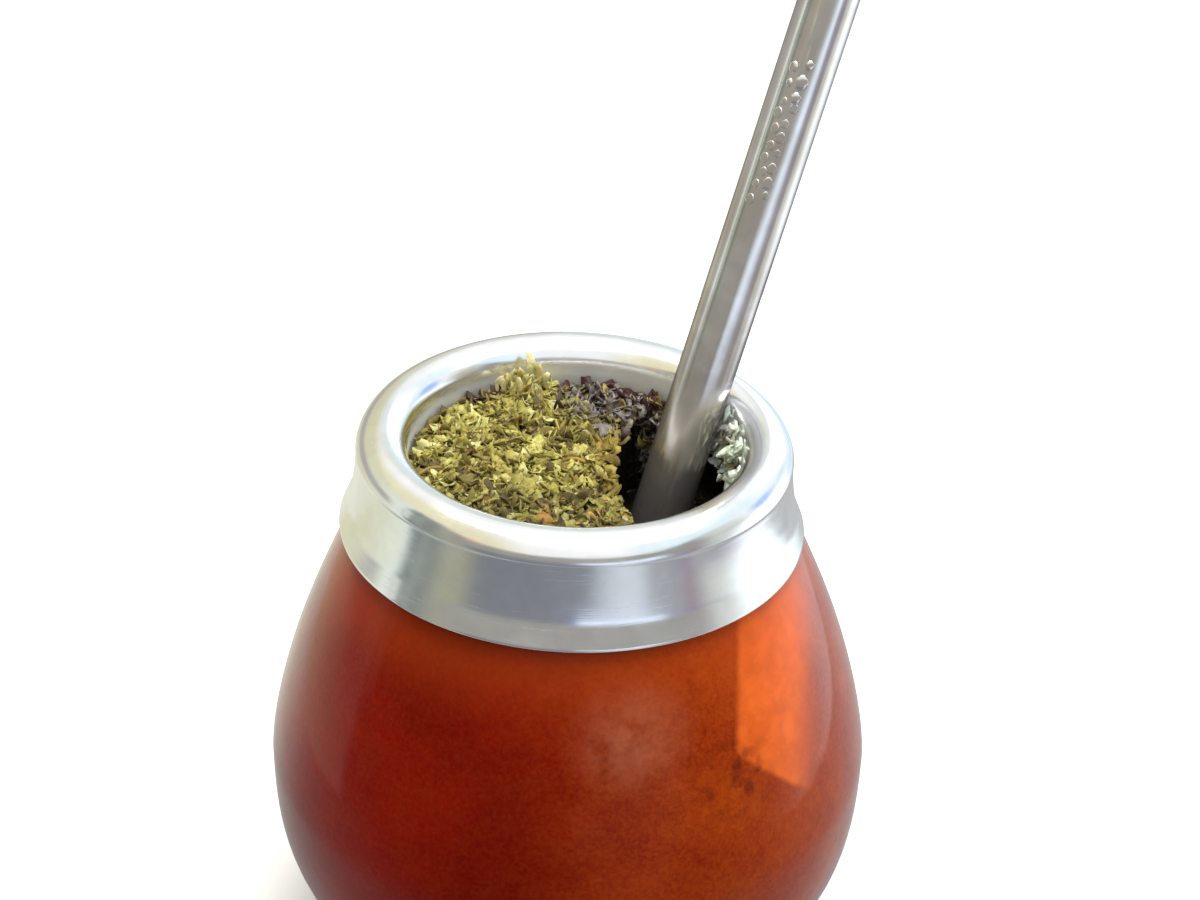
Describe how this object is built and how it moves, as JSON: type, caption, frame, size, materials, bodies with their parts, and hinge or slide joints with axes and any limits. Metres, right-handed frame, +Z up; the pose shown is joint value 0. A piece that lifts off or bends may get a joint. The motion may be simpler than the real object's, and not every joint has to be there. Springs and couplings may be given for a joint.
{
  "type": "mate gourd drink",
  "caption": "Gourd cup with a rolled metal collar, filled with cut dry leaf and a pit of dark infusion, with a plain metal drinking straw leaning in it.",
  "frame": {"origin": "middle of the flat spot under the gourd that it stands on", "axes": "+Z up, the straw leans towards +X and +Y, the heaped leaf lies towards -X"},
  "size_m": [0.0891, 0.086, 0.1744],
  "materials": {
    "gourd": "polished, mottled red-brown lacquer",
    "collar": "spun and polished, lightly worn",
    "yerba": "dry cut leaf and stalk, wet and dark round the pit",
    "drink": "dark opaque infusion, glossy",
    "straw": "polished steel, lightly worn"
  },
  "bodies": {
    "root": {"gourd": "gourd", "collar": "collar", "yerba": "yerba", "drink": "drink", "straw": "straw"}
  },
  "joints": []
}
